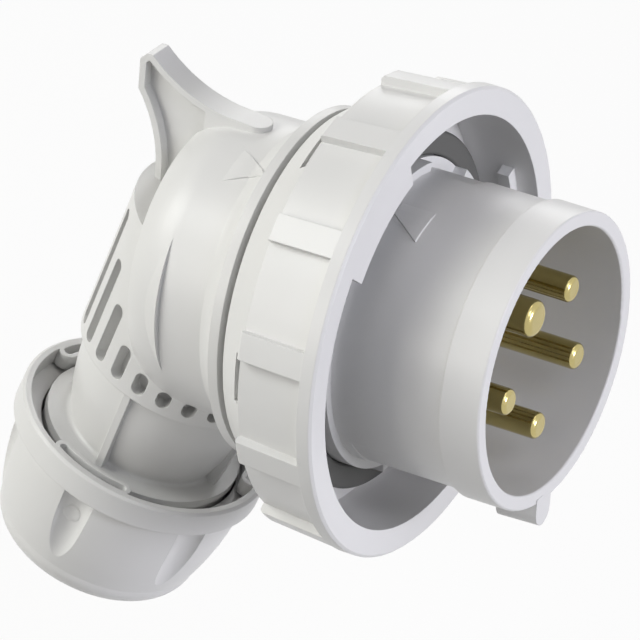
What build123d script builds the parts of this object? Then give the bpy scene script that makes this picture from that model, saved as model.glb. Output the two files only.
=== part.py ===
from build123d import *
import math
import os

# Angled five-pin power plug, watertight type, with a bayonet closing ring.
# X is the plug axis and points out of the nose. +Z points to the finger fin, and the
# nose's key is near -Z. The origin is the centre of the nose's front face.
# An angle around the plug axis starts at +Z and grows towards -Y.
# An angle around the gland axis starts at the plug's back and grows towards -Y.

# Clearances, and how far a rib, lug or hook reaches into what carries it
seat_gap = 0.15
turn_gap = 0.3
root = 1.0

# Nose: an open shroud around the contact pins
nose_r = 28.0
nose_wall = 2.85
nose_band = 8.0
nose_round = 0.4
neck_r = 27.2
shroud_depth = 37.0
shroud_draft = 0.25
front_turn = 3.4
key_w = 5.8
key_r = 32.9
key_length = 8.0
nub_r = 29.9
lip_x = -30.7
lip_r = 28.9
lip_length = 2.5
strip_front_x = -9.8
strip_back_x = -28.6
strip_depth = 0.2
strip_arc = 113.0
notch_x = -21.8
notch_depth = 0.4
notch_first = 318.0
notch_arc = 31.0

# Front flange: the gasket's seat, the ring's track and the collar behind the ring
flange_x = -36.2
flange_r = 34.0
gasket_thick = 2.6
gasket_r = 33.6
collar_rise = 5.6
collar_back_r = 33.4
collar_back_x = -49.4
groove_floor_r = 30.0
spigot_r = 25.2
spigot_end_x = -57.5
hook_angles = [15.0, 85.0, 195.0, 265.0]
hook_arc = 15.0
hook_rise = 1.6
hook_length = 1.4
window_rim = 0.5
window_h = 2.7
window_length = 2.4

# Contact insert
ledge = 2.0
boss_r = 18.9
carrier_r = 20.6
carrier_back_x = -48.0
retainer_thick = 2.4
pin_circle_r = 13.4
pin_count = 5
earth_angle = 30.0
earth_pin_r = 3.5
line_pin_r = 2.5
earth_tip_x = -0.3
line_tip_x = -1.6
tip_round = 0.38
pin_root_rise = 0.5
pin_shoulder_x = -44.0
barrel_r = 4.2
barrel_rear_r = 3.8
barrel_end_x = -61.0
wire_hole_r = 1.9
wire_hole_depth = 9.5
screw_r = 1.5
screw_head_r = 2.3
screw_head_h = 1.6
screw_slot_w = 0.7
screw_back = 4.0

# Bayonet closing ring. Its radii build outward from the flange that it turns on
ring_front_x = -25.16
ring_back_x = -41.85
ring_room = 4.85
ring_wall = 5.25
ring_round = 0.5
ring_band = 3.0
panel_wall = 3.45
panel_draft = 1.2
rib_rise = 1.9
rib_count = 12
rib_first = 16.5
rib_arc = 7.0
ring_web = 2.4
lug_count = 2
lug_first = 20.0
lug_arc = 36.0
lug_rise = 4.35
lug_thick = 4.0
ramp_arc = 58.0
ramp_rise = 2.25
ramp_w = 2.4
ramp_drop = 7.0

# Rear housing: a dome on the plug axis, with a slotted hood around the gland's neck
housing_x = -50.9
housing_lip_r = 32.9
housing_lip = 2.0
dome_r = 27.9
dome_flare_x = -57.5
dome_flare_bend = 6.5
dome_shoulder_x = -66.0
dome_edge_x = -74.5
dome_taper = 0.2
dome_drop = 3.4
dome_bulge = 0.7
housing_wall = 2.3
seal_w = 2.0
seal_x = -53.6
seal_squeeze = 0.1

# Gland: its rim centre and its direction, down and to the back
gland_x = -82.05
gland_z = -38.37
gland_tilt = 69.49
hood_low_t = -16.7
hood_top_t = -48.0
hood_low_r = 19.4
hood_top_r = 21.0
hood_wall = 4.2
neck_top_r = 17.6
neck_mid_r = 16.9
neck_low_r = 14.6
neck_fillet = 0.8
throat = 4.0
disc_t = 1.77
disc_r = 18.86
disc_thick = 1.6
thread_r = 18.4
thread_end_t = 15.0
cable_r = 12.0
pocket_t = 4.0
pocket_r = 14.9
neck_rib_w = 1.5
neck_rib_top_r = 19.0
neck_rib_low_r = 16.4
neck_rib_count = 4

# Hood slots: blind pockets, each from a common bottom up to its own top
slot_w = 2.7
slot_depth = 3.2
slot_bottom_t = -18.2
slot_pitch = 15.0
slot_first = 19.0
slot_longest = 27.6
slot_shares = [1.0, 0.971, 0.699, 0.471, 0.272, 0.174, 0.134, 0.123, 0.116]

# Finger fin: x is along the plug axis, z is the height over it
fin_w = 5.5
fin_rim = 1.3
fin_web = 1.4
fin_tip_x = -87.2
fin_tip_z = 36.8
fin_tip_high = 7.2
fin_tip_flat = 2.6
fin_tip_cut = 1.3
fin_neck_x = -82.6
fin_neck_z = 16.0
fin_back_bow = 1.0
fin_foot_z = 9.0
fin_heel_x = -74.0
fin_heel_z = 18.0
fin_saddle_x = -66.0
fin_saddle_z = 29.1
fin_top_bow = 1.9
fin_pad_x = -61.0
fin_pad_z = 28.7
fin_pad_thick = 4.7
fin_pocket_x = -73.2
fin_pocket_z = 12.0

# Grip ridges on the dome's sides
ridge_front_x = -66.4
ridge_back_x = -69.8
ridge_root = 4.0
ridge_angle = 88.0
ridge_offset = 6.5
ridge_r = 22.2
ridge_fall = 1.7
ridge_half_arc = 60.0

# Cable seal, clamp cage and slip washer, stacked in the gland
grommet_bore_r = 6.5
grommet_flange = 1.5
stack_r = 17.8
cage_thick = 1.5
cage_bore_r = 10.8
finger_wall = 1.8
finger_count = 8
finger_gap = 2.2
finger_length = 4.0
finger_room = 1.0
washer_thick = 1.0

# Gland nut
nut_rim_r = 22.6
nut_collar_r = 24.2
nut_collar = 5.6
nut_round = 0.5
nut_body_r = 22.4
nut_waist = 0.9
nut_waist_t = 16.0
nut_crown = 3.0
nut_crown_t = 24.0
nut_bend = 4.2
nut_bend_t = 27.2
nut_end = 6.4
nut_end_t = 28.7
nut_thread_t = 4.2
nut_exit_r = 10.5
nut_mouth_r = 13.6
nut_mouth_depth = 2.0
flute_count = 6
flute_first = 33.5
flute_r = 3.5
flute_bite = 2.2
tab_count = 3
tab_first = 69.0
tab_arc = 45.0
tab_r = 19.6
tab_wall = 0.9
tab_thick = 3.0
tab_floor = 0.8
tab_root = 0.5


def axial_plane(angle):
    """Plane through the plug axis: its x is along the axis, its y points at the angle."""
    turn = math.radians(angle)
    return Plane(origin=(0, 0, 0), x_dir=(1, 0, 0), z_dir=(0, -math.cos(turn), -math.sin(turn)))


tilt = math.radians(gland_tilt)
gland_out = Vector(-math.cos(tilt), 0, -math.sin(tilt))
gland_back = Vector(-math.sin(tilt), 0, math.cos(tilt))
gland_origin = Vector(gland_x, 0, gland_z)
gland_axis = Axis(gland_origin, gland_out)
gland_frame = Plane(origin=gland_origin, x_dir=gland_back, z_dir=gland_out)


def gland_radial(angle):
    """Unit vector away from the gland axis at the angle."""
    turn = math.radians(angle)
    return gland_back * math.cos(turn) + Vector(0, -1, 0) * math.sin(turn)


def gland_section(angle):
    """Plane through the gland axis: its x is the radius, its y the distance along the axis."""
    radial = gland_radial(angle)
    return Plane(origin=gland_origin, x_dir=radial, z_dir=radial.cross(gland_out))


def gland_tangent(angle, t, r):
    """Plane that faces away from the gland axis, with its x along the axis."""
    radial = gland_radial(angle)
    return Plane(origin=gland_origin + gland_out * t + radial * r, x_dir=gland_out, z_dir=radial)


def finish(piece, name):
    piece.part.label = name
    export_step(piece.part, f"parts/{name}.step")


os.makedirs("parts", exist_ok=True)

# Front shroud: nose, neck, flange, collar behind the ring and the spigot, one moulding
bore_front_r = nose_r - nose_wall
bore_floor_r = bore_front_r - shroud_draft
floor_x = -shroud_depth
carrier_front_x = floor_x - ledge
insert_bore_r = carrier_r + seat_gap
collar_front_x = ring_back_x - turn_gap
collar_r = flange_r + collar_rise
seal_floor_r = spigot_r - seal_w + seal_squeeze

with BuildPart() as front_shroud:
    with BuildSketch(Plane.XZ):
        with BuildLine():
            Polyline(
                (0, bore_front_r),
                (0, nose_r),
                (-nose_band, nose_r),
                (-nose_band - nose_round, neck_r),
                (lip_x, neck_r),
                (lip_x, lip_r),
                (flange_x, lip_r),
                (flange_x, flange_r),
                (collar_front_x, flange_r),
                (collar_front_x, collar_r),
                (collar_back_x, collar_back_r),
                (collar_back_x, groove_floor_r),
                (housing_x + seat_gap, groove_floor_r),
                (housing_x + seat_gap, spigot_r),
                (seal_x + seal_w / 2 + seal_squeeze, spigot_r),
                (seal_x + seal_w / 2 + seal_squeeze, seal_floor_r),
                (seal_x - seal_w / 2 - seal_squeeze, seal_floor_r),
                (seal_x - seal_w / 2 - seal_squeeze, spigot_r),
                (spigot_end_x, spigot_r),
                (spigot_end_x, insert_bore_r),
                (carrier_front_x, insert_bore_r),
                (carrier_front_x, boss_r + seat_gap),
                (floor_x, boss_r + seat_gap),
                (floor_x, bore_floor_r),
                close=True,
            )
        make_face()
    revolve(axis=Axis.X)
    mouth_edges = front_shroud.edges().filter_by(GeomType.CIRCLE).filter_by_position(Axis.X, -0.01, 0.01)
    fillet(mouth_edges, nose_round)
    # Key under the nose. The front part sits a little turned in the housing
    key_plane = Plane.YZ.rotated((0, 0, front_turn))
    with BuildSketch(key_plane):
        key_root = neck_r - nose_round
        with Locations((0, -(key_root + key_r - key_w / 2) / 2)):
            Rectangle(key_w, key_r - key_w / 2 - key_root)
        with Locations((0, -(key_r - key_w / 2))):
            Circle(key_w / 2)
    extrude(amount=-key_length)
    # Small locating nub under the lip
    with BuildSketch(key_plane.offset(lip_x)):
        with Locations((0, -(nub_r + neck_r) / 2)):
            Rectangle(key_w, nub_r - neck_r)
    extrude(amount=-lip_length)
    # Sunk strip along the neck's underside, to both sides of the key
    strip_floor_r = neck_r - strip_depth
    with BuildSketch(axial_plane(180 + front_turn - strip_arc / 2)):
        with BuildLine():
            Polyline(
                (strip_front_x, strip_floor_r),
                (strip_front_x, neck_r + root),
                (strip_back_x, neck_r + root),
                (strip_back_x, strip_floor_r),
                close=True,
            )
        make_face()
    revolve(axis=Axis.X, revolution_arc=strip_arc, mode=Mode.SUBTRACT)
    # Shallow notch on top of the neck, which runs back through the lip
    with BuildSketch(axial_plane(notch_first)):
        with BuildLine():
            Polyline(
                (notch_x, neck_r - notch_depth),
                (notch_x, lip_r + root),
                (lip_x - lip_length, lip_r + root),
                (lip_x - lip_length, neck_r - notch_depth),
                close=True,
            )
        make_face()
    revolve(axis=Axis.X, revolution_arc=notch_arc, mode=Mode.SUBTRACT)
    # Snap hooks that keep the ring on its track
    hook_x = ring_back_x + ring_web + turn_gap
    for hook_angle in hook_angles:
        with BuildSketch(axial_plane(hook_angle)):
            with BuildLine():
                Polyline(
                    (hook_x, flange_r - nose_round),
                    (hook_x, flange_r + hook_rise),
                    (hook_x + hook_length / 2, flange_r + hook_rise),
                    (hook_x + hook_length, flange_r - nose_round),
                    close=True,
                )
            make_face()
        revolve(axis=Axis.X, revolution_arc=hook_arc)
    # Window in the collar behind each hook
    window_high_r = collar_r - window_rim
    window_low_r = window_high_r - window_h
    for hook_angle in hook_angles:
        with BuildSketch(axial_plane(hook_angle)):
            with BuildLine():
                Polyline(
                    (collar_front_x, window_low_r),
                    (collar_front_x, window_high_r),
                    (collar_front_x - window_length, window_high_r),
                    (collar_front_x - window_length, window_low_r),
                    close=True,
                )
            make_face()
        revolve(axis=Axis.X, revolution_arc=hook_arc, mode=Mode.SUBTRACT)
finish(front_shroud, "front_shroud")

# Contact carrier: a thick disc with a boss that closes the shroud's floor
pin_places = [front_turn + earth_angle - 360 / pin_count * place for place in range(pin_count)]
pin_names = ["earth", "line_1", "line_2", "line_3", "neutral"]


def pin_spot(angle):
    """Place of a pin on the plane that looks out of the nose."""
    turn = math.radians(angle)
    return (-pin_circle_r * math.sin(turn), pin_circle_r * math.cos(turn))


carrier_shoulder_x = carrier_front_x - seat_gap
with BuildPart() as contact_carrier:
    with BuildSketch(Plane.YZ.offset(floor_x)):
        Circle(boss_r)
    extrude(amount=carrier_shoulder_x - floor_x)
    with BuildSketch(Plane.YZ.offset(carrier_shoulder_x)):
        Circle(carrier_r)
    extrude(amount=carrier_back_x - carrier_shoulder_x)
    for angle, name in zip(pin_places, pin_names):
        pin_r = earth_pin_r if name == "earth" else line_pin_r
        with BuildSketch(Plane.YZ.offset(floor_x)):
            with Locations(pin_spot(angle)):
                Circle(pin_r + pin_root_rise + seat_gap)
        extrude(amount=carrier_back_x - floor_x, mode=Mode.SUBTRACT)
    with BuildSketch(Plane.YZ.offset(carrier_back_x)):
        with Locations(*[pin_spot(angle) for angle in pin_places]):
            Circle(barrel_r + seat_gap)
    extrude(amount=pin_shoulder_x + seat_gap - carrier_back_x, mode=Mode.SUBTRACT)
finish(contact_carrier, "contact_carrier")

# Retainer plate: holds the contacts forward in the carrier
retainer_x = carrier_back_x - seat_gap
with BuildPart() as contact_retainer:
    with BuildSketch(Plane.YZ.offset(retainer_x)):
        Circle(carrier_r)
        with Locations(*[pin_spot(angle) for angle in pin_places]):
            Circle(barrel_rear_r + seat_gap, mode=Mode.SUBTRACT)
    extrude(amount=-retainer_thick)
finish(contact_retainer, "contact_retainer")

# Contacts: each pin and its terminal barrel are turned from one brass bar
screw_x = barrel_end_x + screw_back
pin_root_x = floor_x + seat_gap
for angle, name in zip(pin_places, pin_names):
    pin_r = earth_pin_r if name == "earth" else line_pin_r
    tip_x = earth_tip_x if name == "earth" else line_tip_x
    spot_y, spot_z = pin_spot(angle)
    outward = Vector(0, spot_y, spot_z).normalized()
    pin_axis = Axis((0, spot_y, spot_z), (1, 0, 0))
    with BuildPart() as contact:
        with BuildSketch(Plane(origin=(0, spot_y, spot_z), x_dir=(1, 0, 0), z_dir=(0, -1, 0))):
            with BuildLine():
                tip_curve = pin_r * tip_round
                Line((tip_x, 0), (tip_x, pin_r - tip_curve))
                RadiusArc((tip_x, pin_r - tip_curve), (tip_x - tip_curve, pin_r), -tip_curve)
                Polyline(
                    (tip_x - tip_curve, pin_r),
                    (pin_root_x, pin_r),
                    (pin_root_x, pin_r + pin_root_rise),
                    (pin_shoulder_x, pin_r + pin_root_rise),
                    (pin_shoulder_x, barrel_r),
                    (carrier_back_x, barrel_r),
                    (carrier_back_x, barrel_rear_r),
                    (barrel_end_x, barrel_rear_r),
                    (barrel_end_x, wire_hole_r),
                    (barrel_end_x + wire_hole_depth, wire_hole_r),
                    (barrel_end_x + wire_hole_depth, 0),
                    (tip_x, 0),
                )
            make_face()
        revolve(axis=pin_axis)
        screw_seat = Plane(origin=(screw_x, spot_y, spot_z), x_dir=(1, 0, 0), z_dir=outward)
        with BuildSketch(screw_seat):
            Circle(screw_r + seat_gap)
        extrude(amount=barrel_rear_r, mode=Mode.SUBTRACT)
    finish(contact, f"{name}_pin")

    with BuildPart() as terminal_screw:
        with BuildSketch(screw_seat.offset(seat_gap)):
            Circle(screw_r)
        extrude(amount=barrel_rear_r)
        with BuildSketch(screw_seat.offset(barrel_rear_r + seat_gap)):
            Circle(screw_head_r)
        extrude(amount=screw_head_h)
        with BuildSketch(screw_seat.offset(barrel_rear_r + seat_gap + screw_head_h)):
            Rectangle(2 * screw_head_r + root, screw_slot_w)
        extrude(amount=-screw_head_h / 2, mode=Mode.SUBTRACT)
    finish(terminal_screw, f"{name}_terminal_screw")

# Bayonet ring: turns on the flange and draws the plug into its socket
ring_web_x = ring_back_x + ring_web
web_bore_r = flange_r + turn_gap
ring_bore_r = flange_r + ring_room
ring_front_r = ring_bore_r + ring_wall
panel_front_r = ring_bore_r + panel_wall
panel_back_r = panel_front_r - panel_draft
rib_back_r = panel_back_r + rib_rise
band_x = ring_front_x - ring_band
lug_r = ring_bore_r - lug_rise
ramp_r = ring_bore_r - ramp_rise
ramp_middle_x = ring_front_x - (lug_thick + ramp_drop) / 2
ramp_slope = math.degrees(math.atan2(ramp_drop, 2 * ramp_r * math.sin(math.radians(ramp_arc / 2))))
ramp_middle = math.radians(lug_arc + ramp_arc / 2)
ramp_outward = Vector(0, -math.sin(ramp_middle), math.cos(ramp_middle))
# One ramp: a sector of the bore's inner rim, kept between two slanted faces
ramp_root_arc = math.degrees(root / ramp_r)
ramp_root_r = ring_bore_r + ring_round
with BuildPart() as ramp:
    with BuildSketch(axial_plane(lug_arc - ramp_root_arc)):
        with BuildLine():
            Polyline(
                (ring_front_x, ramp_r),
                (ring_front_x, ramp_root_r),
                (ring_web_x, ramp_root_r),
                (ring_web_x, ramp_r),
                close=True,
            )
        make_face()
    revolve(axis=Axis.X, revolution_arc=ramp_arc + ramp_root_arc)
    ramp_place = ramp_outward * ramp_r + Vector(ramp_middle_x, 0, 0)
    ramp_face = Plane(origin=ramp_place, x_dir=ramp_outward, z_dir=(1, 0, 0))
    with BuildSketch(ramp_face.rotated((-ramp_slope, 0, 0))):
        Rectangle(2 * ring_bore_r, 4 * ring_bore_r)
    extrude(amount=ramp_w / 2, both=True, mode=Mode.INTERSECT)

with BuildPart() as bayonet_ring:
    with BuildSketch(Plane.XZ):
        with BuildLine():
            Polyline(
                (ring_front_x, ring_bore_r),
                (ring_front_x, ring_front_r - ring_round),
                (ring_front_x - ring_round, ring_front_r),
                (band_x, ring_front_r),
                (band_x - ring_round, panel_front_r),
                (ring_back_x, panel_back_r),
                (ring_back_x, web_bore_r),
                (ring_web_x, web_bore_r),
                (ring_web_x, ring_bore_r),
                close=True,
            )
        make_face()
    revolve(axis=Axis.X)
    # Grip ribs
    for place in range(rib_count):
        with BuildSketch(axial_plane(rib_first + place * 360 / rib_count)):
            with BuildLine():
                Polyline(
                    (band_x + ring_round, panel_back_r - root),
                    (band_x + ring_round, ring_front_r),
                    (ring_back_x + ring_round, rib_back_r),
                    (ring_back_x, rib_back_r - ring_round),
                    (ring_back_x, panel_back_r - root),
                    close=True,
                )
            make_face()
        revolve(axis=Axis.X, revolution_arc=rib_arc)
    # Bayonet lugs inside the front edge, each with a ramp that climbs to the back
    for place in range(lug_count):
        lug_angle = lug_first + place * 360 / lug_count
        with BuildSketch(axial_plane(lug_angle)):
            with BuildLine():
                Polyline(
                    (ring_front_x, ring_bore_r + root),
                    (ring_front_x, lug_r),
                    (ring_front_x - lug_thick, lug_r),
                    (ring_front_x - lug_thick, ring_bore_r + root),
                    close=True,
                )
            make_face()
        revolve(axis=Axis.X, revolution_arc=lug_arc)
        with Locations(Location((0, 0, 0), (lug_angle, 0, 0))):
            add(ramp.part)
finish(bayonet_ring, "bayonet_ring")

# Face gasket: rubber, on the flange round the neck
with BuildPart() as face_gasket:
    with BuildSketch(Plane.YZ.offset(flange_x + seat_gap)):
        Circle(gasket_r)
        Circle(lip_r + seat_gap, mode=Mode.SUBTRACT)
    extrude(amount=gasket_thick)
    fillet(face_gasket.edges().group_by(Axis.X)[-1], gasket_thick / 4)
finish(face_gasket, "face_gasket")

# Housing seal: a rubber ring in the spigot's groove
housing_bore_r = spigot_r + seat_gap
with BuildPart() as housing_seal:
    with BuildSketch(Plane.XZ):
        with Locations((seal_x, (seal_floor_r + housing_bore_r) / 2)):
            Circle((housing_bore_r - seal_floor_r) / 2 - seal_squeeze / 2)
    revolve(axis=Axis.X)
finish(housing_seal, "housing_seal")

# Rear housing: dome, slotted hood, gland neck with its thread, and the finger fin
dome_shoulder_r = dome_r - dome_taper
dome_edge_r = dome_r - dome_drop
cavity_back_x = dome_edge_x + housing_wall
with BuildPart() as rear_housing:
    with BuildSketch(Plane.XZ):
        with BuildLine():
            Polyline(
                (dome_edge_x, 0),
                (housing_x, 0),
                (housing_x, housing_lip_r),
                (housing_x - housing_lip, housing_lip_r),
            )
            RadiusArc((housing_x - housing_lip, housing_lip_r), (dome_flare_x, dome_r), dome_flare_bend)
            Line((dome_flare_x, dome_r), (dome_shoulder_x, dome_shoulder_r))
            ThreePointArc(
                (dome_shoulder_x, dome_shoulder_r),
                ((dome_shoulder_x + dome_edge_x) / 2, (dome_r + dome_edge_r) / 2 + dome_bulge),
                (dome_edge_x, dome_edge_r),
            )
            Line((dome_edge_x, dome_edge_r), (dome_edge_x, 0))
        make_face()
    revolve(axis=Axis.X)
    # Hood, neck, disc and threaded spigot, all round the gland axis
    with BuildSketch(gland_section(0)):
        with BuildLine():
            Polyline(
                (0, hood_top_t),
                (hood_top_r, hood_top_t),
                (hood_low_r, hood_low_t),
                (neck_top_r, hood_low_t),
            )
            ThreePointArc(
                (neck_top_r, hood_low_t),
                (neck_mid_r, (hood_low_t + disc_t) / 2),
                (neck_low_r, disc_t - neck_fillet),
            )
            RadiusArc((neck_low_r, disc_t - neck_fillet), (neck_low_r + neck_fillet, disc_t), neck_fillet)
            Polyline(
                (neck_low_r + neck_fillet, disc_t),
                (disc_r, disc_t),
                (disc_r, disc_t + disc_thick),
                (thread_r, disc_t + disc_thick),
                (thread_r, thread_end_t),
                (0, thread_end_t),
                (0, hood_top_t),
            )
        make_face()
    revolve(axis=gland_axis)
    # Neck ribs
    rib_root_r = neck_low_r - housing_wall
    for place in range(neck_rib_count):
        rib_plane = gland_section(place * 360 / neck_rib_count)
        with BuildSketch(rib_plane):
            with BuildLine():
                Polyline(
                    (rib_root_r, hood_low_t - root),
                    (neck_rib_top_r, hood_low_t - root),
                    (neck_rib_top_r, hood_low_t),
                    (neck_rib_low_r, disc_t + disc_thick / 2),
                    (rib_root_r, disc_t + disc_thick / 2),
                    close=True,
                )
            make_face()
        extrude(amount=neck_rib_w / 2, both=True)
    # Finger fin: an I-shaped rib that sweeps up to the back and ends in a pad on the dome
    fin_tip_low = fin_tip_z - fin_tip_high
    with BuildSketch(Plane.XZ) as fin_outline:
        with BuildLine():
            Line((fin_neck_x, fin_foot_z), (fin_neck_x, fin_neck_z))
            SagittaArc((fin_neck_x, fin_neck_z), (fin_tip_x, fin_tip_low), -fin_back_bow)
            Polyline(
                (fin_tip_x, fin_tip_low),
                (fin_tip_x, fin_tip_z - fin_tip_cut),
                (fin_tip_x + fin_tip_cut, fin_tip_z),
                (fin_tip_x + fin_tip_flat, fin_tip_z),
            )
            SagittaArc((fin_tip_x + fin_tip_flat, fin_tip_z), (fin_saddle_x, fin_saddle_z), -fin_top_bow)
            Polyline(
                (fin_saddle_x, fin_saddle_z),
                (fin_pad_x, fin_pad_z),
                (fin_pad_x, fin_pad_z - fin_pad_thick),
                (fin_heel_x, fin_heel_z),
                (fin_heel_x, fin_foot_z),
                (fin_neck_x, fin_foot_z),
            )
        make_face()
    extrude(amount=fin_w / 2, both=True)
    pad_corners = rear_housing.edges().filter_by(Axis.Z).filter_by_position(Axis.X, fin_pad_x, fin_pad_x)
    fillet(pad_corners, fin_w * 0.49)
    # Its two side pockets leave a rim and a thin web, and stop where the dome begins
    for side in (1, -1):
        with BuildSketch(Plane.XZ.offset(side * fin_w / 2)):
            add(fin_outline.sketch_local)
            offset(amount=-fin_rim, mode=Mode.REPLACE)
            with Locations((fin_pocket_x, fin_pocket_z)):
                Rectangle(fin_tip_z, fin_tip_z, align=(Align.MAX, Align.MIN), mode=Mode.INTERSECT)
        extrude(amount=-side * (fin_w - fin_web) / 2, mode=Mode.SUBTRACT)
    # Grip ridges: each rises off the dome to the front and ends in a step
    for side in (1, -1):
        ridge_turn = math.radians(side * ridge_angle)
        ridge_shift = Vector(0, -math.sin(ridge_turn), math.cos(ridge_turn)) * ridge_offset
        ridge_start = axial_plane(side * ridge_angle - ridge_half_arc)
        with BuildSketch(Plane(origin=ridge_shift, x_dir=(1, 0, 0), z_dir=ridge_start.z_dir)):
            with BuildLine():
                Polyline(
                    (ridge_front_x, ridge_r - ridge_root),
                    (ridge_front_x, ridge_r),
                    (ridge_back_x, ridge_r - ridge_fall),
                    (ridge_back_x, ridge_r - ridge_root),
                    close=True,
                )
            make_face()
        revolve(axis=Axis(ridge_shift, (1, 0, 0)), revolution_arc=2 * ridge_half_arc)
    # The hood stops behind the mouth's flat face
    with BuildSketch(Plane.YZ.offset(housing_x)):
        Circle(housing_lip_r)
    extrude(amount=housing_lip_r, mode=Mode.SUBTRACT)
    # Inside: the terminal chamber, the hood's hollow and the cable's way out
    with BuildSketch(Plane.XZ):
        with BuildLine():
            Polyline(
                (cavity_back_x, 0),
                (housing_x, 0),
                (housing_x, housing_bore_r),
                (dome_shoulder_x, housing_bore_r),
                (cavity_back_x, dome_edge_r - housing_wall),
                close=True,
            )
        make_face()
    revolve(axis=Axis.X, mode=Mode.SUBTRACT)
    with BuildSketch(gland_section(0)):
        with BuildLine():
            Polyline(
                (0, hood_top_t + housing_wall),
                (hood_top_r - hood_wall, hood_top_t + housing_wall),
                (hood_low_r - hood_wall, hood_low_t - root),
                (cable_r, disc_t - throat),
                (cable_r, pocket_t),
                (pocket_r, pocket_t),
                (pocket_r, thread_end_t),
                (0, thread_end_t),
                close=True,
            )
        make_face()
    revolve(axis=gland_axis, mode=Mode.SUBTRACT)
    # Hood slots
    for place, share in enumerate(slot_shares):
        for side in (1, -1):
            slot_length = slot_longest * share
            slot_t = slot_bottom_t - slot_length / 2
            taper = (slot_t - hood_low_t) / (hood_top_t - hood_low_t)
            slot_face_r = hood_low_r + (hood_top_r - hood_low_r) * taper
            slot_angle = side * (slot_first + place * slot_pitch)
            with BuildSketch(gland_tangent(slot_angle, slot_t, slot_face_r - slot_depth)):
                SlotOverall(slot_length, slot_w)
            extrude(amount=slot_depth + root, mode=Mode.SUBTRACT)
finish(rear_housing, "rear_housing")

# Cable grommet: the rubber seal that the nut squeezes round the cable
grommet_low_t = pocket_t + seat_gap
flange_low_t = thread_end_t + seat_gap
flange_top_t = flange_low_t + grommet_flange
with BuildPart() as cable_grommet:
    with BuildSketch(gland_section(0)):
        with BuildLine():
            Polyline(
                (grommet_bore_r, grommet_low_t),
                (pocket_r - seat_gap, grommet_low_t),
                (pocket_r - seat_gap, flange_low_t),
                (stack_r, flange_low_t),
                (stack_r, flange_top_t),
                (grommet_bore_r, flange_top_t),
                close=True,
            )
        make_face()
    revolve(axis=gland_axis)
finish(cable_grommet, "cable_grommet")

# Clamp cage: a ring of fingers that the nut closes on the cable
cage_low_t = flange_top_t + seat_gap
cage_top_t = cage_low_t + cage_thick
with BuildPart() as clamp_cage:
    with BuildSketch(gland_section(0)):
        with BuildLine():
            Polyline(
                (cage_bore_r, cage_low_t),
                (stack_r, cage_low_t),
                (stack_r, cage_top_t),
                (cage_bore_r + finger_wall, cage_top_t),
                (cage_bore_r + finger_wall, cage_top_t + finger_length),
                (cage_bore_r, cage_top_t + finger_length),
                close=True,
            )
        make_face()
    revolve(axis=gland_axis)
    for place in range(finger_count):
        gap_plane = gland_tangent(place * 360 / finger_count, cage_top_t + finger_length / 2, 0)
        with BuildSketch(gap_plane):
            Rectangle(finger_length, finger_gap)
        extrude(amount=stack_r, mode=Mode.SUBTRACT)
finish(clamp_cage, "clamp_cage")

# Slip washer: lets the nut turn without twisting the cage
washer_low_t = cage_top_t + turn_gap
washer_top_t = washer_low_t + washer_thick
washer_bore_r = cage_bore_r + finger_wall + turn_gap
with BuildPart() as slip_washer:
    with BuildSketch(gland_frame.offset(washer_low_t)):
        Circle(stack_r)
        Circle(washer_bore_r, mode=Mode.SUBTRACT)
    extrude(amount=washer_thick)
finish(slip_washer, "slip_washer")

# Gland nut: fluted cap with a collar, three rim tabs and a flared cable mouth
nut_shoulder_t = washer_top_t + turn_gap
nut_thread_r = disc_r + turn_gap
finger_room_t = cage_top_t + finger_length + finger_room
nut_waist_r = nut_body_r - nut_waist
nut_crown_r = nut_body_r - nut_crown
nut_bend_r = nut_body_r - nut_bend
nut_end_r = nut_body_r - nut_end
tab_width = nut_rim_r + tab_root - tab_r
tab_middle_r = tab_r + tab_width / 2
tab_end_arc = math.degrees(tab_width / 2 / tab_middle_r)
with BuildLine() as tab_line:
    CenterArc((0, 0), tab_middle_r, tab_end_arc - tab_first - tab_arc, tab_arc - 2 * tab_end_arc)
with BuildPart() as gland_nut:
    with BuildSketch(gland_section(0)):
        with BuildLine():
            Polyline(
                (nut_rim_r, 0),
                (nut_collar_r - nut_round, 0),
                (nut_collar_r, nut_round),
                (nut_collar_r, nut_collar - nut_round),
                (nut_body_r, nut_collar + nut_round),
            )
            ThreePointArc(
                (nut_body_r, nut_collar + nut_round),
                (nut_waist_r, nut_waist_t),
                (nut_crown_r, nut_crown_t),
            )
            ThreePointArc((nut_crown_r, nut_crown_t), (nut_bend_r, nut_bend_t), (nut_end_r, nut_end_t))
            Polyline(
                (nut_end_r, nut_end_t),
                (nut_mouth_r, nut_end_t),
                (nut_exit_r, nut_end_t - nut_mouth_depth),
                (nut_exit_r, finger_room_t),
                (washer_bore_r + turn_gap, finger_room_t),
                (washer_bore_r + turn_gap, nut_shoulder_t),
                (nut_thread_r, nut_shoulder_t),
                (nut_thread_r, nut_thread_t),
                (nut_rim_r, nut_thread_t - nut_round),
                (nut_rim_r, 0),
            )
        make_face()
    revolve(axis=gland_axis)
    # Grip flutes: each starts full under the collar and runs out where the body narrows
    flute_top_t = nut_collar + nut_round
    flute_length = nut_end_t - flute_top_t
    for place in range(flute_count):
        flute_face = gland_section(flute_first + place * 360 / flute_count)
        flute_middle = Pos(nut_body_r - flute_bite + flute_r, flute_top_t + flute_length / 2, 0)
        with Locations(flute_face * flute_middle * Rot(-90, 0, 0)):
            Cylinder(flute_r, flute_length, mode=Mode.SUBTRACT)
    # Rim tabs: walled loops with round ends, each round a pocket
    with BuildSketch(gland_frame):
        with PolarLocations(0, tab_count):
            SlotArc(arc=tab_line.edge(), height=tab_width)
    extrude(amount=tab_thick)
    with BuildSketch(gland_frame):
        with PolarLocations(0, tab_count):
            SlotArc(arc=tab_line.edge(), height=tab_width - 2 * tab_wall)
    extrude(amount=tab_thick - tab_floor, mode=Mode.SUBTRACT)
finish(gland_nut, "gland_nut")
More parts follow.
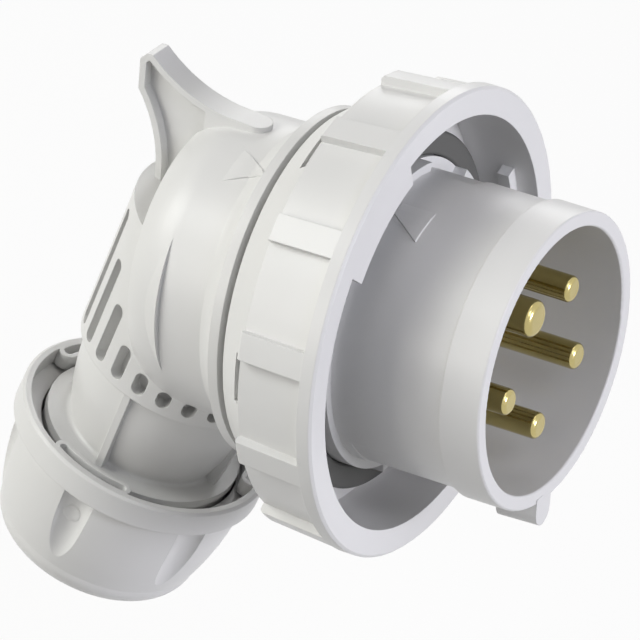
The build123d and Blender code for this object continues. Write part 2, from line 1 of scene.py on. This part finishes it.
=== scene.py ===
# Angled five-pin power plug, watertight type, with a bayonet closing ring.
# Metres. X points out of the nose, Z up to the finger fin, and the origin is the centre
# of the nose's front face. The solids come from the frame and are dressed here in place.
import math

import bpy
from mathutils import Matrix, Vector
from mathutils.bvhtree import BVHTree


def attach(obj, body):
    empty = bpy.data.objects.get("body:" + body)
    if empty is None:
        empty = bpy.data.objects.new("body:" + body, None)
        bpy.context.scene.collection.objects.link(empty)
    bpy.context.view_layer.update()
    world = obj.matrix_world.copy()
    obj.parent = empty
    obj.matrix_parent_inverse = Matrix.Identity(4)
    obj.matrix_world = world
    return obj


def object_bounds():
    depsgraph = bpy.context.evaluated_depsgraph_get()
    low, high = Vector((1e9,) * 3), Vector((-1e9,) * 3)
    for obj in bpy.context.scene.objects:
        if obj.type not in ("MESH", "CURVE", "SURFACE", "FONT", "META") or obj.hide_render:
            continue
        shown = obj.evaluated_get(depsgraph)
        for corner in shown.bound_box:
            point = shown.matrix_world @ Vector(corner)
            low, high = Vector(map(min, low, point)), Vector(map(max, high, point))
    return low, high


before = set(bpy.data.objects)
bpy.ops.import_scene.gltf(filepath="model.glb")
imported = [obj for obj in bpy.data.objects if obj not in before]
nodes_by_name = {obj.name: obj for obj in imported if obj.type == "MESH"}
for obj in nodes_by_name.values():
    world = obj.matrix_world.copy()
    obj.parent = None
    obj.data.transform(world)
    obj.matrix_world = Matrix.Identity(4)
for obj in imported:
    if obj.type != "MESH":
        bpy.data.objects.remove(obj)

cad_low, cad_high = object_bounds()


# Studio: a plain pale floor a little below the plug under a dim even sky, a soft key lamp
# high on the left behind the ring, two lamps before the nose and weak ones round the rest.
# To the eye the floor is mostly a white glow, and its matt share keeps the plug's shadow.
scene = bpy.context.scene
scene.view_settings.view_transform = "Standard"
floor_to_light = (0.45, 0.45, 0.45)
floor_to_eye = (0.9, 0.9, 0.9)
floor_glow_share = 0.87
floor_drop = 0.035
floor_half = 4.0
sky_colour = (0.94, 0.95, 1.0)
sky_strength = 0.06
white = (1, 1, 1, 1)
white_strength = 1.0


def material(name):
    """A new material and its node tree, with nothing in it but the output."""
    made = bpy.data.materials.new(name)
    made.use_nodes = True
    tree = made.node_tree
    tree.nodes.clear()
    out = tree.nodes.new("ShaderNodeOutputMaterial")
    return made, tree, out


def mesh_object(name, verts, faces, look, smooth=True):
    """A mesh object from plain points and faces, linked to the scene."""
    mesh = bpy.data.meshes.new(name)
    mesh.from_pydata([tuple(v) for v in verts], [], faces)
    mesh.materials.append(look)
    if smooth:
        mesh.shade_smooth()
    made = bpy.data.objects.new(name, mesh)
    scene.collection.objects.link(made)
    return made


def bright_to_rays(tree):
    """1 for camera, glossy and transmission rays, else 0, so metal sees the background too."""
    path = tree.nodes.new("ShaderNodeLightPath")
    most = tree.nodes.new("ShaderNodeMath")
    most.operation = "MAXIMUM"
    tree.links.new(path.outputs["Is Camera Ray"], most.inputs[0])
    tree.links.new(path.outputs["Is Glossy Ray"], most.inputs[1])
    last = tree.nodes.new("ShaderNodeMath")
    last.operation = "MAXIMUM"
    tree.links.new(most.outputs[0], last.inputs[0])
    tree.links.new(path.outputs["Is Transmission Ray"], last.inputs[1])
    return last.outputs[0]


floor_look, tree, out = material("studio_floor")
bright = bright_to_rays(tree)
tone = tree.nodes.new("ShaderNodeMix")
tone.data_type = "RGBA"
tone.inputs["A"].default_value = (*floor_to_light, 1)
tone.inputs["B"].default_value = (*floor_to_eye, 1)
tree.links.new(bright, tone.inputs["Factor"])
matt = tree.nodes.new("ShaderNodeBsdfDiffuse")
tree.links.new(tone.outputs["Result"], matt.inputs["Color"])
glow = tree.nodes.new("ShaderNodeEmission")
glow.inputs["Color"].default_value = white
glow.inputs["Strength"].default_value = white_strength
share = tree.nodes.new("ShaderNodeMath")
share.operation = "MULTIPLY"
share.inputs[1].default_value = floor_glow_share
tree.links.new(bright, share.inputs[0])
blend = tree.nodes.new("ShaderNodeMixShader")
tree.links.new(share.outputs[0], blend.inputs[0])
tree.links.new(matt.outputs[0], blend.inputs[1])
tree.links.new(glow.outputs[0], blend.inputs[2])
tree.links.new(blend.outputs[0], out.inputs["Surface"])

floor_z = cad_low.z - floor_drop
floor_corners = [
    (-floor_half, -floor_half, floor_z),
    (floor_half, -floor_half, floor_z),
    (floor_half, floor_half, floor_z),
    (-floor_half, floor_half, floor_z),
]
floor_piece = mesh_object("floor", floor_corners, [(0, 1, 2, 3)], floor_look, smooth=False)

sky = bpy.data.worlds.new("studio_sky")
scene.world = sky
sky.use_nodes = True
tree = sky.node_tree
tree.nodes.clear()
out = tree.nodes.new("ShaderNodeOutputWorld")
fill = tree.nodes.new("ShaderNodeBackground")
fill.inputs["Color"].default_value = (*sky_colour, 1)
fill.inputs["Strength"].default_value = sky_strength
seen = tree.nodes.new("ShaderNodeBackground")
seen.inputs["Color"].default_value = white
seen.inputs["Strength"].default_value = white_strength
blend = tree.nodes.new("ShaderNodeMixShader")
tree.links.new(bright_to_rays(tree), blend.inputs[0])
tree.links.new(fill.outputs[0], blend.inputs[1])
tree.links.new(seen.outputs[0], blend.inputs[2])
tree.links.new(blend.outputs[0], out.inputs["Surface"])


def lamp(name, place, power, size, colour):
    """A square soft lamp that looks at the middle of the plug, placed from that middle."""
    light = bpy.data.lights.new(name, "AREA")
    light.energy = power
    light.size = size
    light.color = colour
    made = bpy.data.objects.new(name, light)
    scene.collection.objects.link(made)
    middle = (cad_low + cad_high) / 2
    made.location = middle + Vector(place)
    made.rotation_mode = "QUATERNION"
    made.rotation_quaternion = (middle - made.location).to_track_quat("-Z", "Y")


for lamp_name, place, power, size, colour in [
    ("key_lamp", (-0.86, -0.60, 0.76), 11.0, 0.6, (0.99, 1.0, 0.955)),
    ("side_lamp", (-0.62, -1.11, 0.27), 4.2, 0.5, (1.0, 0.97, 0.91)),
    ("nose_lamp", (1.28, 0.0, 0.20), 10.6, 0.35, (0.935, 0.925, 1.0)),
    ("near_lamp", (0.89, -0.51, 0.80), 3.6, 0.6, (0.86, 0.89, 1.0)),
    ("top_lamp", (0.10, 0.0, 1.28), 2.2, 0.6, (1.0, 0.94, 0.90)),
    ("far_lamp", (-0.40, 1.11, 0.55), 4.0, 0.6, (1.0, 1.0, 1.0)),
]:
    lamp(lamp_name, place, power, size, colour)


# Camera: far off with a long lens, as the photograph was taken, above the nose's near side.
# Its place and its three axes were fitted to the photograph.
camera_data = bpy.data.cameras.new("camera")
camera_data.sensor_width = 36.0
camera_data.lens = 785.8
camera_data.clip_start = 0.1
camera_data.clip_end = 50.0
camera = bpy.data.objects.new("camera", camera_data)
scene.collection.objects.link(camera)
camera_place = Vector((1.0061, -1.9929, 1.1258))
camera_right = Vector((0.8658, 0.4958, 0.0665))
camera_up = Vector((-0.2751, 0.3608, 0.8911))
camera_back = Vector((0.4178, -0.7899, 0.4488))
camera_axes = Matrix((camera_right, camera_up, camera_back)).transposed().to_4x4()
camera.matrix_world = Matrix.Translation(camera_place) @ camera_axes
scene.camera = camera


def new_group(name, sockets_in, sockets_out):
    """An empty shader group with named inputs and outputs."""
    group = bpy.data.node_groups.new(name, "ShaderNodeTree")
    for label, kind, value in sockets_in:
        socket = group.interface.new_socket(label, in_out="INPUT", socket_type=kind)
        socket.default_value = value
    for label, kind in sockets_out:
        group.interface.new_socket(label, in_out="OUTPUT", socket_type=kind)
    return group, group.nodes.new("NodeGroupInput"), group.nodes.new("NodeGroupOutput")


def soft_edges_group():
    """Rounded normals at every edge, and a mask that is 1 on the edge itself."""
    dot_when_flat, dot_on_edge = 0.995, 0.80
    group, given, gives = new_group(
        "soft_edges",
        [("Radius", "NodeSocketFloat", 0.0004)],
        [("Normal", "NodeSocketVector"), ("Edge", "NodeSocketFloat")],
    )
    bevel = group.nodes.new("ShaderNodeBevel")
    bevel.samples = 6
    group.links.new(given.outputs["Radius"], bevel.inputs["Radius"])
    plain = group.nodes.new("ShaderNodeNewGeometry")
    dot = group.nodes.new("ShaderNodeVectorMath")
    dot.operation = "DOT_PRODUCT"
    group.links.new(bevel.outputs["Normal"], dot.inputs[0])
    group.links.new(plain.outputs["Normal"], dot.inputs[1])
    ramp = group.nodes.new("ShaderNodeMapRange")
    ramp.inputs["From Min"].default_value = dot_when_flat
    ramp.inputs["From Max"].default_value = dot_on_edge
    group.links.new(dot.outputs["Value"], ramp.inputs["Value"])
    group.links.new(bevel.outputs["Normal"], gives.inputs["Normal"])
    group.links.new(ramp.outputs["Result"], gives.inputs["Edge"])
    return group


def moulded_skin_group():
    """Satin moulded plastic: faint flow mottle, fine spark grain and rubbed edges."""
    flow_scale, flow_detail, grain_detail = 70.0, 3.0, 2.0
    flow_at_gloss, flow_at_matt = 0.3, 0.7
    group, given, gives = new_group(
        "moulded_skin",
        [
            ("Colour", "NodeSocketColor", (0.75, 0.75, 0.73, 1)),
            ("Shade Colour", "NodeSocketColor", (0.70, 0.70, 0.69, 1)),
            ("Rubbed Colour", "NodeSocketColor", (0.85, 0.85, 0.83, 1)),
            ("Edge", "NodeSocketFloat", 0.0),
            ("Gloss Roughness", "NodeSocketFloat", 0.34),
            ("Matt Roughness", "NodeSocketFloat", 0.46),
            ("Grain Scale", "NodeSocketFloat", 5200.0),
        ],
        [
            ("Colour", "NodeSocketColor"),
            ("Roughness", "NodeSocketFloat"),
            ("Height", "NodeSocketFloat"),
        ],
    )
    nodes, links = group.nodes, group.links
    place = nodes.new("ShaderNodeTexCoord")
    flow = nodes.new("ShaderNodeTexNoise")
    flow.inputs["Scale"].default_value = flow_scale
    flow.inputs["Detail"].default_value = flow_detail
    links.new(place.outputs["Object"], flow.inputs["Vector"])
    mottle = nodes.new("ShaderNodeMix")
    mottle.data_type = "RGBA"
    links.new(flow.outputs["Fac"], mottle.inputs["Factor"])
    links.new(given.outputs["Shade Colour"], mottle.inputs["A"])
    links.new(given.outputs["Colour"], mottle.inputs["B"])
    patchy = nodes.new("ShaderNodeMath")
    patchy.operation = "MULTIPLY"
    links.new(given.outputs["Edge"], patchy.inputs[0])
    links.new(flow.outputs["Fac"], patchy.inputs[1])
    rubbed = nodes.new("ShaderNodeMix")
    rubbed.data_type = "RGBA"
    links.new(patchy.outputs[0], rubbed.inputs["Factor"])
    links.new(mottle.outputs["Result"], rubbed.inputs["A"])
    links.new(given.outputs["Rubbed Colour"], rubbed.inputs["B"])
    grain = nodes.new("ShaderNodeTexNoise")
    grain.inputs["Detail"].default_value = grain_detail
    links.new(place.outputs["Object"], grain.inputs["Vector"])
    links.new(given.outputs["Grain Scale"], grain.inputs["Scale"])
    gloss = nodes.new("ShaderNodeMapRange")
    gloss.inputs["From Min"].default_value = flow_at_gloss
    gloss.inputs["From Max"].default_value = flow_at_matt
    links.new(flow.outputs["Fac"], gloss.inputs["Value"])
    links.new(given.outputs["Gloss Roughness"], gloss.inputs["To Min"])
    links.new(given.outputs["Matt Roughness"], gloss.inputs["To Max"])
    links.new(rubbed.outputs["Result"], gives.inputs["Colour"])
    links.new(gloss.outputs["Result"], gives.inputs["Roughness"])
    links.new(grain.outputs["Fac"], gives.inputs["Height"])
    return group


soft_edges = soft_edges_group()
moulded_skin = moulded_skin_group()


def group_node(tree, group, **values):
    """A placed group with its inputs set by name, spaces written as underscores."""
    node = tree.nodes.new("ShaderNodeGroup")
    node.node_tree = group
    for key, value in values.items():
        node.inputs[key.replace("_", " ")].default_value = value
    return node


def plastic(name, *, colour, shade, rubbed, gloss, matt, edge_radius, grain_depth):
    """Moulded plastic with its own colours, gloss, edge softness and grain."""
    grain_strength, bend_of_light, shine = 0.35, 1.5, 0.45
    made, tree, out = material(name)
    edges = group_node(tree, soft_edges, Radius=edge_radius)
    skin = group_node(
        tree,
        moulded_skin,
        Colour=(*colour, 1),
        Shade_Colour=(*shade, 1),
        Rubbed_Colour=(*rubbed, 1),
        Gloss_Roughness=gloss,
        Matt_Roughness=matt,
    )
    tree.links.new(edges.outputs["Edge"], skin.inputs["Edge"])
    bump = tree.nodes.new("ShaderNodeBump")
    bump.inputs["Strength"].default_value = grain_strength
    bump.inputs["Distance"].default_value = grain_depth
    tree.links.new(skin.outputs["Height"], bump.inputs["Height"])
    tree.links.new(edges.outputs["Normal"], bump.inputs["Normal"])
    shader = tree.nodes.new("ShaderNodeBsdfPrincipled")
    shader.inputs["IOR"].default_value = bend_of_light
    shader.inputs["Specular IOR Level"].default_value = shine
    tree.links.new(skin.outputs["Colour"], shader.inputs["Base Color"])
    tree.links.new(skin.outputs["Roughness"], shader.inputs["Roughness"])
    tree.links.new(bump.outputs["Normal"], shader.inputs["Normal"])
    tree.links.new(shader.outputs[0], out.inputs["Surface"])
    return made


def dress(look, *names):
    """Gives CAD nodes one material in every slot."""
    for name in names:
        for place in nodes_by_name[name].material_slots:
            place.material = look


housing_look = plastic(
    "housing_polyamide",
    colour=(0.71, 0.708, 0.70),
    shade=(0.68, 0.678, 0.672),
    rubbed=(0.78, 0.778, 0.77),
    gloss=0.34,
    matt=0.44,
    edge_radius=0.00025,
    grain_depth=0.00003,
)
dress(housing_look, "rear_housing")
mm_per_m = 1000


def skin_finder(node):
    """A function that follows a line from a start along a direction to the node's skin."""
    skin = BVHTree.FromObject(nodes_by_name[node], bpy.context.evaluated_depsgraph_get())
    to_world = nodes_by_name[node].matrix_world
    to_node = to_world.inverted()

    def find(start, direction):
        return to_world @ skin.ray_cast(to_node @ start, to_node.to_3x3() @ direction)[0]

    return find


def raised_arrow(name, node, near_edge, far_edge, rise, rear_limit):
    """A moulded arrowhead on a round body, proud at its tip and level with the skin at its heel.

    Both edges run from the tip to the heel through pairs of X in millimetres and degrees
    round the plug's axis, counted from the top towards the near side. Rise and rear limit
    are in millimetres too, and so are the sizes below.
    """
    find_skin = skin_finder(node)
    rows, columns = 20, 12
    sunk = -0.06
    wall = 0.08
    body_radius = 28.0
    cast_radius = 60.0
    heel_fade = 3.5
    heel_x, heel_degrees = (far_edge[-1][part] - near_edge[-1][part] for part in (0, 1))
    broad = Vector((heel_x, math.radians(heel_degrees) * body_radius))
    wall_x, wall_turn = broad.normalized() * wall

    def place_on(edge, along):
        step = min(int(along * (len(edge) - 1)), len(edge) - 2)
        return Vector(edge[step]).lerp(Vector(edge[step + 1]), along * (len(edge) - 1) - step)

    points = []
    for row in range(rows + 2):
        along = max(row - 1, 0) / rows
        near, far = place_on(near_edge, along), place_on(far_edge, along)
        for column in range(-1, columns + 2):
            x, degrees = near.lerp(far, min(max(column, 0), columns) / columns)
            turn = math.radians(degrees)
            height = rise * min(1.0, heel_fade * (1.0 - along)) + sunk * along
            if column in (-1, columns + 1) or row == 0:
                height = sunk
                side = 1 if column > columns / 2 else -1
                x += side * wall_x
                turn += side * wall_turn / body_radius
            x = max(x, rear_limit)
            outward = Vector((0.0, -math.sin(turn), math.cos(turn)))
            start = Vector((x / mm_per_m, 0.0, 0.0)) + outward * (cast_radius / mm_per_m)
            points.append(find_skin(start, -outward) + outward * (height / mm_per_m))
    wide = columns + 3
    faces = []
    for row in range(rows + 1):
        for column in range(wide - 1):
            corner = row * wide + column
            faces.append((corner, corner + 1, corner + wide + 1, corner + wide))
    made = mesh_object(name, points, faces, housing_look, smooth=False)
    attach(made, "plug")


raised_arrow(
    "dome_arrow",
    "rear_housing",
    near_edge=[
        (-54.3, 28.6), (-55.85, 27.7), (-57.8, 28.5), (-59.3, 30.1), (-60.9, 31.8), (-62.4, 33.4)
    ],
    far_edge=[
        (-54.3, 28.0), (-55.75, 24.4), (-57.7, 21.4), (-59.2, 19.5), (-60.7, 17.6), (-62.3, 15.5)
    ],
    rise=0.32,
    rear_limit=-70.0,
)


# Front shroud: nose, neck, flange and the collar behind the ring, moulded in the same grey,
# with an arrowhead on the neck that shows which way the ring closes.
dress(housing_look, "front_shroud")
raised_arrow(
    "neck_arrow",
    "front_shroud",
    near_edge=[(-22.5, 32.6), (-34.2, 16.0)],
    far_edge=[(-22.4, 32.6), (-22.1, 16.0)],
    rise=0.28,
    rear_limit=-29.0,
)


# Bayonet ring: a separate moulding of the same family, a touch lighter, with twelve ribs
# for the fingers. It turns in its groove between the flange and the collar.
ring_look = plastic(
    "ring_polyamide",
    colour=(0.72, 0.718, 0.71),
    shade=(0.69, 0.688, 0.682),
    rubbed=(0.79, 0.788, 0.78),
    gloss=0.32,
    matt=0.42,
    edge_radius=0.00025,
    grain_depth=0.00003,
)
dress(ring_look, "bayonet_ring")


# Contact insert: the carrier that closes the shroud's floor and the plate behind it, both
# moulded in a heat-resistant grey with a drier skin.
carrier_look = plastic(
    "carrier_polyamide",
    colour=(0.60, 0.60, 0.61),
    shade=(0.56, 0.56, 0.58),
    rubbed=(0.68, 0.68, 0.68),
    gloss=0.42,
    matt=0.55,
    edge_radius=0.0002,
    grain_depth=0.00003,
)
dress(carrier_look, "contact_carrier", "contact_retainer")


# Contact pins: turned from brass bar and polished by the lathe, with fine rings round them.
# The earth pin is the thick one. All five are held in the carrier.
def turned_metal_group():
    """Fine lathe rings along X, and a faint dull film in patches."""
    film_scale, film_detail, ring_detail = 160.0, 4.0, 2.0
    film_at_bright, film_at_dull = 0.35, 0.65
    group, given, gives = new_group(
        "turned_metal",
        [
            ("Bright Colour", "NodeSocketColor", (0.8, 0.62, 0.32, 1)),
            ("Dull Colour", "NodeSocketColor", (0.6, 0.45, 0.22, 1)),
            ("Ring Scale", "NodeSocketFloat", 3000.0),
            ("Bright Roughness", "NodeSocketFloat", 0.12),
            ("Dull Roughness", "NodeSocketFloat", 0.3),
        ],
        [
            ("Colour", "NodeSocketColor"),
            ("Roughness", "NodeSocketFloat"),
            ("Height", "NodeSocketFloat"),
        ],
    )
    nodes, links = group.nodes, group.links
    place = nodes.new("ShaderNodeTexCoord")
    film = nodes.new("ShaderNodeTexNoise")
    film.inputs["Scale"].default_value = film_scale
    film.inputs["Detail"].default_value = film_detail
    links.new(place.outputs["Object"], film.inputs["Vector"])
    tone = nodes.new("ShaderNodeMix")
    tone.data_type = "RGBA"
    links.new(film.outputs["Fac"], tone.inputs["Factor"])
    links.new(given.outputs["Bright Colour"], tone.inputs["A"])
    links.new(given.outputs["Dull Colour"], tone.inputs["B"])
    gloss = nodes.new("ShaderNodeMapRange")
    gloss.inputs["From Min"].default_value = film_at_bright
    gloss.inputs["From Max"].default_value = film_at_dull
    links.new(film.outputs["Fac"], gloss.inputs["Value"])
    links.new(given.outputs["Bright Roughness"], gloss.inputs["To Min"])
    links.new(given.outputs["Dull Roughness"], gloss.inputs["To Max"])
    parts = nodes.new("ShaderNodeSeparateXYZ")
    links.new(place.outputs["Object"], parts.inputs[0])
    rings = nodes.new("ShaderNodeTexNoise")
    rings.noise_dimensions = "1D"
    rings.inputs["Detail"].default_value = ring_detail
    links.new(parts.outputs["X"], rings.inputs["W"])
    links.new(given.outputs["Ring Scale"], rings.inputs["Scale"])
    links.new(tone.outputs["Result"], gives.inputs["Colour"])
    links.new(gloss.outputs["Result"], gives.inputs["Roughness"])
    links.new(rings.outputs["Fac"], gives.inputs["Height"])
    return group


turned_metal = turned_metal_group()


def turned(name, *, bright, dull, smooth_rough, dull_rough, ring_depth):
    """Turned metal with its own colours and gloss."""
    ring_strength = 0.2
    made, tree, out = material(name)
    skin = group_node(
        tree,
        turned_metal,
        Bright_Colour=(*bright, 1),
        Dull_Colour=(*dull, 1),
        Bright_Roughness=smooth_rough,
        Dull_Roughness=dull_rough,
    )
    bump = tree.nodes.new("ShaderNodeBump")
    bump.inputs["Strength"].default_value = ring_strength
    bump.inputs["Distance"].default_value = ring_depth
    tree.links.new(skin.outputs["Height"], bump.inputs["Height"])
    shader = tree.nodes.new("ShaderNodeBsdfPrincipled")
    shader.inputs["Metallic"].default_value = 1.0
    tree.links.new(skin.outputs["Colour"], shader.inputs["Base Color"])
    tree.links.new(skin.outputs["Roughness"], shader.inputs["Roughness"])
    tree.links.new(bump.outputs["Normal"], shader.inputs["Normal"])
    tree.links.new(shader.outputs[0], out.inputs["Surface"])
    return made


brass_look = turned(
    "pin_brass",
    bright=(0.58, 0.49, 0.22),
    dull=(0.45, 0.38, 0.16),
    smooth_rough=0.15,
    dull_rough=0.25,
    ring_depth=0.00001,
)
dress(brass_look, "earth_pin", "line_1_pin", "line_2_pin", "line_3_pin", "neutral_pin")


# Terminal screws: zinc-plated steel, one in each contact's barrel to clamp its wire, all
# hidden in the housing.
screw_look = turned(
    "screw_steel",
    bright=(0.66, 0.66, 0.68),
    dull=(0.50, 0.50, 0.53),
    smooth_rough=0.25,
    dull_rough=0.40,
    ring_depth=0.00001,
)
dress(
    screw_look,
    "earth_terminal_screw",
    "line_1_terminal_screw",
    "line_2_terminal_screw",
    "line_3_terminal_screw",
    "neutral_terminal_screw",
)


# Rubber parts: the face gasket on the flange, the ring that seals the shroud in the rear
# housing, and the cable grommet in the gland. All are moulded in black rubber.
rubber_look = plastic(
    "seal_rubber",
    colour=(0.105, 0.105, 0.10),
    shade=(0.09, 0.09, 0.085),
    rubbed=(0.15, 0.15, 0.145),
    gloss=0.55,
    matt=0.70,
    edge_radius=0.0004,
    grain_depth=0.00005,
)
dress(rubber_look, "face_gasket", "housing_seal", "cable_grommet")


# Clamp cage and slip washer: the ring of fingers that grips the cable, and the washer that
# lets the nut turn on it. Both are moulded in off-white plastic and lie inside the gland.
cage_look = plastic(
    "cage_plastic",
    colour=(0.72, 0.72, 0.70),
    shade=(0.66, 0.66, 0.65),
    rubbed=(0.80, 0.80, 0.78),
    gloss=0.40,
    matt=0.52,
    edge_radius=0.0002,
    grain_depth=0.00003,
)
dress(cage_look, "clamp_cage", "slip_washer")


# Gland nut: a fluted cap with a smooth collar and three rim tabs, moulded in the grey. The
# flute on the near side has a low round pip in it, draped on the flute from the pip's
# middle out in rings, each given by its radius and its height over the skin in millimetres.
dress(housing_look, "gland_nut")
pip_middle = Vector((-0.0852, -0.04, -0.0492))
pip_rings = [(0.0, 0.14), (0.8, 0.14), (1.45, 0.13), (1.6, 0.08), (1.7, -0.06)]
pip_sides = 40
find_nut = skin_finder("gland_nut")
inward = Vector((0, 1, 0))
pip_points = [find_nut(pip_middle, inward) - inward * (pip_rings[0][1] / mm_per_m)]
for ring_radius, rise in pip_rings[1:]:
    for side in range(pip_sides):
        turn = math.tau * side / pip_sides
        start = pip_middle + Vector((math.cos(turn), 0, math.sin(turn))) * (ring_radius / mm_per_m)
        pip_points.append(find_nut(start, inward) - inward * (rise / mm_per_m))
pip_faces = [(0, 1 + side, 1 + (side + 1) % pip_sides) for side in range(pip_sides)]
for ring in range(len(pip_rings) - 2):
    inner, outer = 1 + ring * pip_sides, 1 + (ring + 1) * pip_sides
    for side in range(pip_sides):
        after = (side + 1) % pip_sides
        pip_faces.append((inner + side, outer + side, outer + after, inner + after))
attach(mesh_object("flute_pip", pip_points, pip_faces, housing_look), "nut")
